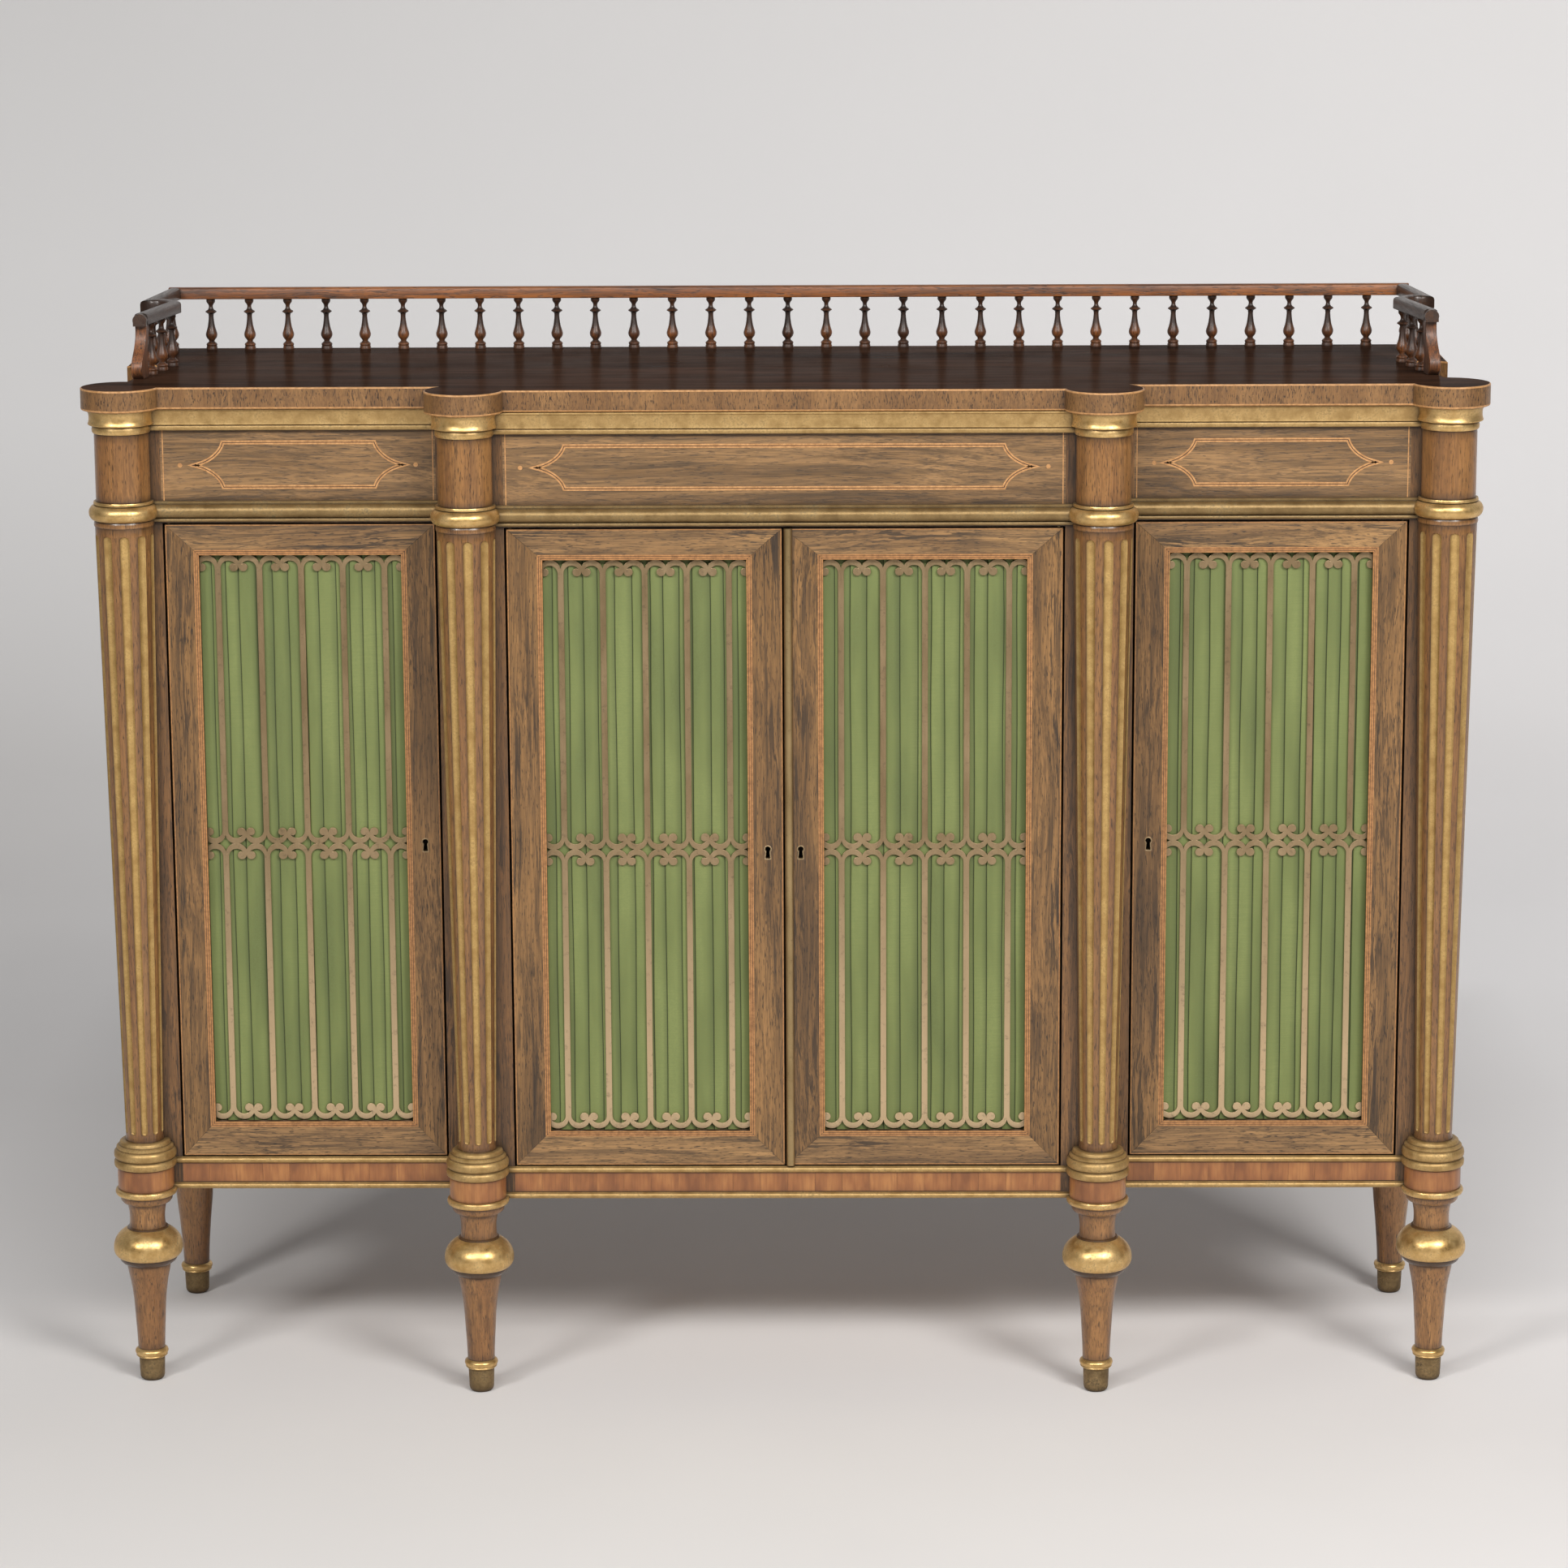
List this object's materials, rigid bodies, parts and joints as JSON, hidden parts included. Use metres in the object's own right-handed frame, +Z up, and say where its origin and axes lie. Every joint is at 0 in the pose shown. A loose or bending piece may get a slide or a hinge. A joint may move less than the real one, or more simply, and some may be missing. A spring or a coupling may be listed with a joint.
{
  "type": "side cabinet",
  "caption": "Side cabinet with a stepped centre bay, engaged fluted columns, brass-grilled doors over pleated silk, gilt mouldings, turned legs and a spindle gallery.",
  "frame": {"origin": "on the floor under the middle of the cabinet's bounding box", "axes": "+X to the viewer's right, +Y to the back, +Z up"},
  "size_m": [1.4592, 0.4046, 1.147],
  "materials": {
    "rosewood": "waxed, faded",
    "rosewood_top": "french polished",
    "rosewood_turned": "waxed",
    "satinwood": "waxed, cross-banded",
    "boxwood_line": "waxed",
    "mahogany": "french polished",
    "carcass_wood": "plain",
    "gilding": "worn gilding on wood",
    "grille_brass": "dull lacquered",
    "brass": "polished",
    "steel": "plain",
    "silk": "pleated green silk"
  },
  "bodies": {
    "carcass": {"top_board": "rosewood_top", "cornice_gilt": "gilding", "frieze_moulding_gilt": "gilding", "frieze_boards": "rosewood", "frieze_inlay": "boxwood_line", "stiles": "rosewood", "aprons": "satinwood", "apron_beads_gilt": "gilding", "side_panels": "rosewood", "rear_legs": "rosewood_turned", "bottom_board": "carcass_wood", "dust_board": "carcass_wood", "partitions": "carcass_wood", "back_panels": "carcass_wood", "shelves": "carcass_wood", "shelf_pegs": "brass", "columns": "rosewood_turned", "column_caps_gilt": "gilding", "column_collars_gilt": "gilding", "column_bases_gilt": "gilding", "column_bands": "satinwood", "front_legs": "rosewood_turned", "leg_balls_gilt": "gilding", "leg_rings_gilt": "gilding", "leg_sabots": "gilding", "gallery_rails": "mahogany", "gallery_spindles": "mahogany", "gallery_brackets": "mahogany", "hinge_pins": "brass", "door_stops": "carcass_wood"},
    "door_left": {"door_left_frame": "rosewood", "door_left_grille": "grille_brass", "door_left_silk": "silk", "door_left_beads": "carcass_wood", "door_left_lock": "brass", "door_left_brasses": "brass"},
    "door_left_bolt": {"door_left_bolt": "steel"},
    "door_centre_left": {"door_centre_left_frame": "rosewood", "door_centre_left_grille": "grille_brass", "door_centre_left_silk": "silk", "door_centre_left_beads": "carcass_wood", "door_centre_left_lock": "brass", "door_centre_left_brasses": "brass"},
    "door_centre_left_bolt": {"door_centre_left_bolt": "steel"},
    "door_centre_right": {"door_centre_right_frame": "rosewood", "door_centre_right_grille": "grille_brass", "door_centre_right_silk": "silk", "door_centre_right_beads": "carcass_wood", "door_centre_right_lock": "brass", "door_centre_right_brasses": "brass"},
    "door_centre_right_bolt": {"door_centre_right_bolt": "steel"},
    "door_right": {"door_right_frame": "rosewood", "door_right_grille": "grille_brass", "door_right_silk": "silk", "door_right_beads": "carcass_wood", "door_right_lock": "brass", "door_right_brasses": "brass"},
    "door_right_bolt": {"door_right_bolt": "steel"}
  },
  "joints": [
    {"name": "door_left_hinge", "type": "hinge", "parent": "carcass", "child": "door_left", "pos_m": [-0.6438, -0.1133, 0.591], "axis": [0, 0, -1], "range_deg": [0, 95]},
    {"name": "door_left_bolt_slide", "type": "slide", "parent": "door_left", "child": "door_left_bolt", "axis": [1, 0, 0], "range_m": [0, 0.007]},
    {"name": "door_centre_left_hinge", "type": "hinge", "parent": "carcass", "child": "door_centre_left", "pos_m": [-0.2843, -0.1513, 0.591], "axis": [0, 0, -1], "range_deg": [0, 95]},
    {"name": "door_centre_left_bolt_slide", "type": "slide", "parent": "door_centre_left", "child": "door_centre_left_bolt", "axis": [0, 0, -1], "range_m": [0, 0.01]},
    {"name": "door_centre_right_hinge", "type": "hinge", "parent": "carcass", "child": "door_centre_right", "pos_m": [0.2843, -0.1513, 0.591], "axis": [0, 0, 1], "range_deg": [0, 95]},
    {"name": "door_centre_right_bolt_slide", "type": "slide", "parent": "door_centre_right", "child": "door_centre_right_bolt", "axis": [-1, 0, 0], "range_m": [0, 0.007]},
    {"name": "door_right_hinge", "type": "hinge", "parent": "carcass", "child": "door_right", "pos_m": [0.6438, -0.1133, 0.591], "axis": [0, 0, 1], "range_deg": [0, 95]},
    {"name": "door_right_bolt_slide", "type": "slide", "parent": "door_right", "child": "door_right_bolt", "axis": [-1, 0, 0], "range_m": [0, 0.007]}
  ]
}
